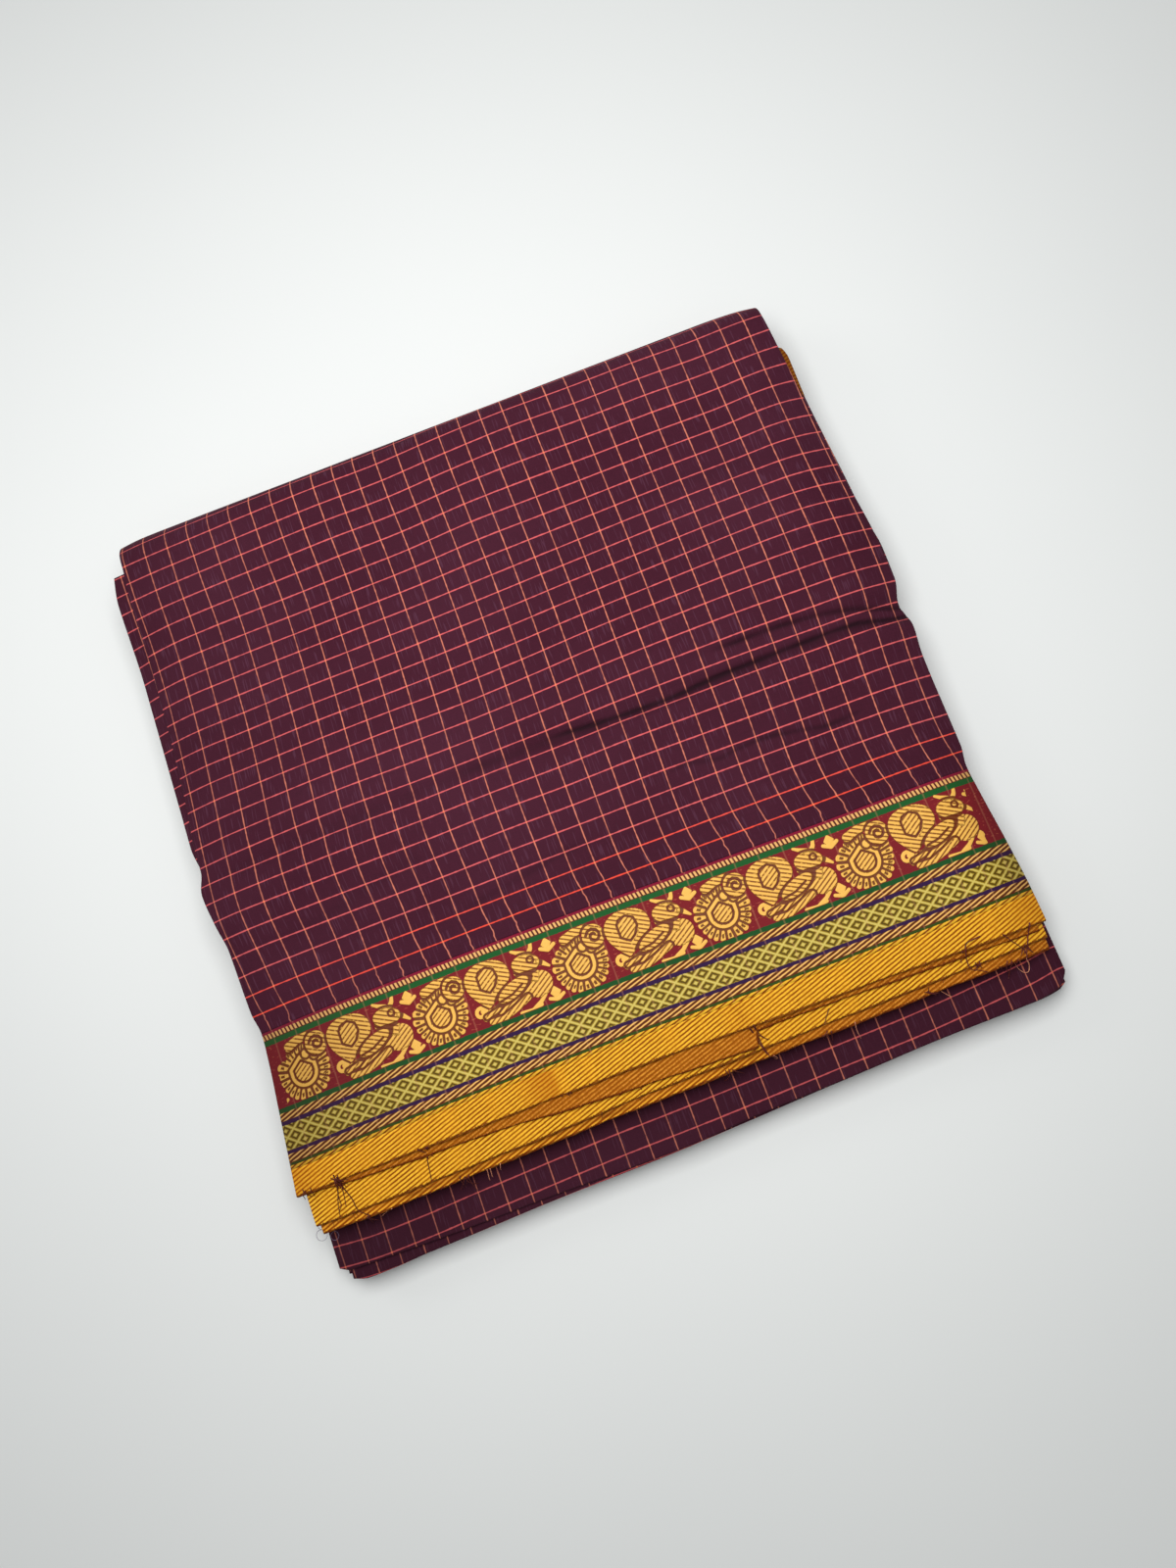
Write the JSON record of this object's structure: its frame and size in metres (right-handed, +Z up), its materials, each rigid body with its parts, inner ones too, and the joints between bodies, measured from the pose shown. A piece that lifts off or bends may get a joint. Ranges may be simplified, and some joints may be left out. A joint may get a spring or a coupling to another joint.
{
  "type": "folded nine-yard saree",
  "caption": "Nine-yard cotton saree folded flat: checked plum body, brocade border of birds and flowers, gold twill selvedge, lying on a shelf.",
  "frame": {"origin": "middle of the folded saree's footprint, on the surface that it lies on", "axes": "+X along the border, +Y towards the back fold, +Z up out of the surface"},
  "size_m": [0.3065, 0.3212, 0.0291],
  "materials": {
    "checked_cotton": "fine plain weave with a soft sheen, checked in coral and tan lines",
    "brocade": "maroon ground with raised gold thread brocade, green and purple lines",
    "selvedge_twill": "golden orange twill with a silky sheen and a frayed edge",
    "twill_reverse": "brown orange reverse side of the twill, duller"
  },
  "bodies": {
    "root": {"hidden_layers": "checked_cotton", "body_leaf": "checked_cotton", "under_leaf": "checked_cotton", "brocade_border": "brocade", "selvedge_first": "selvedge_twill", "reverse_first": "twill_reverse", "selvedge_second": "selvedge_twill", "reverse_second": "twill_reverse", "selvedge_layers": "selvedge_twill", "centre_fold_first": "checked_cotton", "centre_fold_second": "checked_cotton", "centre_fold_layers": "checked_cotton", "left_leaf": "checked_cotton", "right_leaf": "checked_cotton", "inner_selvedge": "selvedge_twill"}
  },
  "joints": []
}
